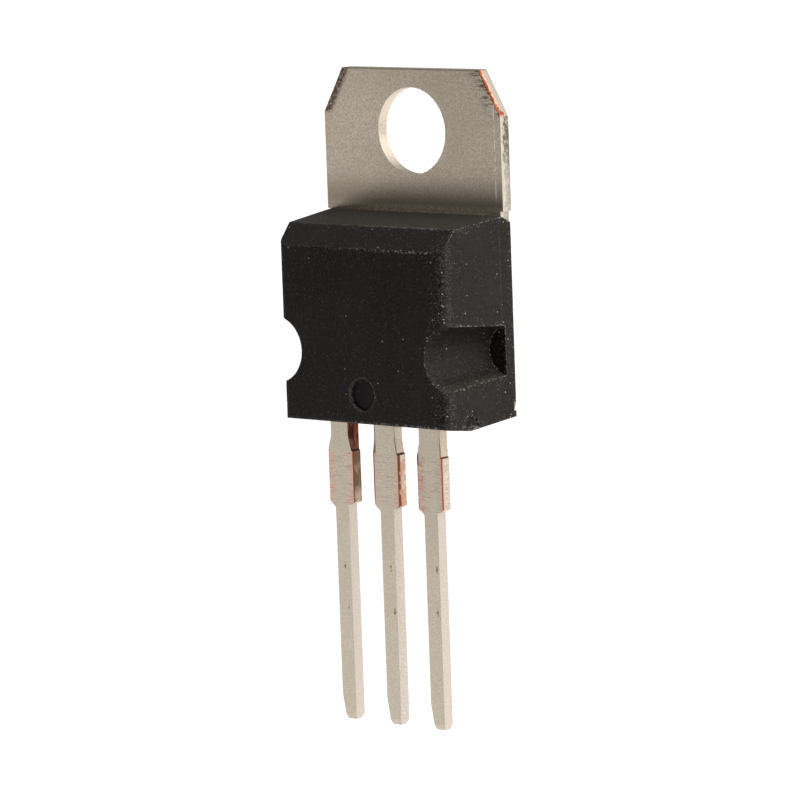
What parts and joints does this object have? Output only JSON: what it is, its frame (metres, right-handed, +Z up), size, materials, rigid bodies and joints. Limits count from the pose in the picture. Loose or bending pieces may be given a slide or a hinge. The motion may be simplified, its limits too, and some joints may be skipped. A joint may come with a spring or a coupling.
{
  "type": "voltage regulator",
  "caption": "Linear voltage regulator: black moulded body on a thin metal cooling tab with a screw hole, and straight tinned leads below.",
  "frame": {"origin": "centre of the tab's screw hole, on the back face that lies on the heat sink", "axes": "+X to the right seen from the front, +Y out of the back into the heat sink, +Z up from the leads to the tab's top edge"},
  "size_m": [0.01, 0.0044, 0.0288],
  "materials": {
    "moulding_compound": "satin black filled epoxy with a fine moulded texture",
    "tinned_copper": "matte tin over copper, with bare copper where the strip was cut",
    "silicon": "polished silicon, sealed in",
    "solder": "soft solder, sealed in",
    "bond_wire": "bare aluminium wire, sealed in"
  },
  "bodies": {
    "root": {"moulded_body": "moulding_compound", "heat_slug": "tinned_copper", "input_lead": "tinned_copper", "output_lead": "tinned_copper", "regulator_die": "silicon", "die_solder": "solder", "input_bond_wire": "bond_wire", "output_bond_wire": "bond_wire", "ground_bond_wire": "bond_wire"}
  },
  "joints": []
}
